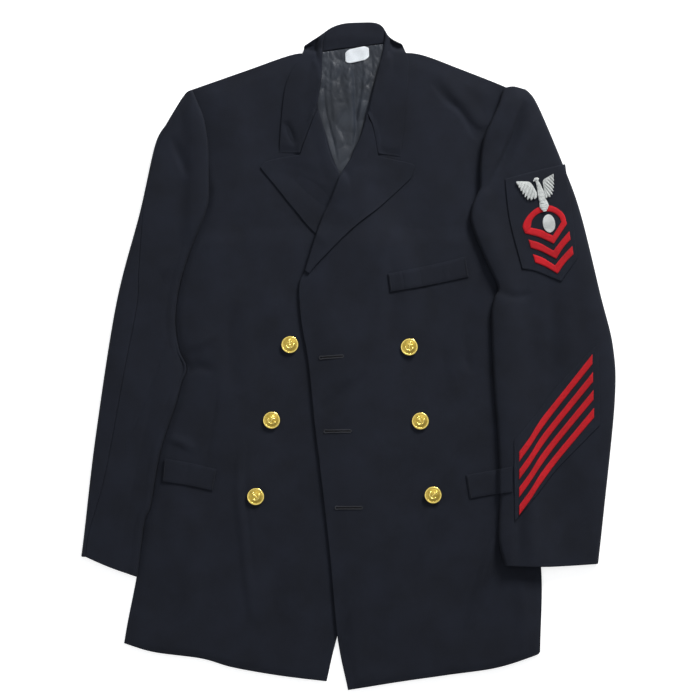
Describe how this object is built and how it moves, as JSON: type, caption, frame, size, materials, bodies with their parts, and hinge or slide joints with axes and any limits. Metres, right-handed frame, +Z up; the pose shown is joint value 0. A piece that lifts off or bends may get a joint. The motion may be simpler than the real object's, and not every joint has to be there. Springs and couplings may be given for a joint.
{
  "type": "double-breasted military dress tunic",
  "caption": "Double-breasted navy wool dress tunic laid flat, with peaked lapels, gilt buttons, welt pockets, rate badge and service stripes.",
  "frame": {"origin": "on the surface the tunic lies on, under the middle of its bounding box", "axes": "+Z up out of the garment's front, +Y towards the collar, +X towards the wearer's left"},
  "size_m": [0.6711, 0.84, 0.022],
  "materials": {
    "navy_wool": "matt navy wool serge",
    "grey_satin": "soft sheen lining satin",
    "gilt": "polished gilt brass",
    "scarlet_felt": "scarlet wool braid",
    "silver_thread": "silver-grey embroidery",
    "white_tape": "white woven tape"
  },
  "bodies": {
    "root": {"front_left": "navy_wool", "front_right": "navy_wool", "back_left": "navy_wool", "back_right": "navy_wool", "lapel_left": "navy_wool", "lapel_right": "navy_wool", "collar": "navy_wool", "collar_stand": "navy_wool", "top_sleeve_left": "navy_wool", "top_sleeve_right": "navy_wool", "under_sleeve_left": "navy_wool", "under_sleeve_right": "navy_wool", "breast_welt": "navy_wool", "hip_welt_left": "navy_wool", "hip_welt_right": "navy_wool", "badge_patch": "navy_wool", "stripe_patch": "navy_wool", "back_lining": "grey_satin", "neck_label": "white_tape", "button_1": "gilt", "button_2": "gilt", "button_3": "gilt", "button_4": "gilt", "button_5": "gilt", "button_6": "gilt", "stripe_1": "scarlet_felt", "stripe_2": "scarlet_felt", "stripe_3": "scarlet_felt", "stripe_4": "scarlet_felt", "badge_arc": "scarlet_felt", "badge_chevron_1": "scarlet_felt", "badge_chevron_2": "scarlet_felt", "badge_bird": "silver_thread", "badge_oval": "silver_thread"}
  },
  "joints": []
}
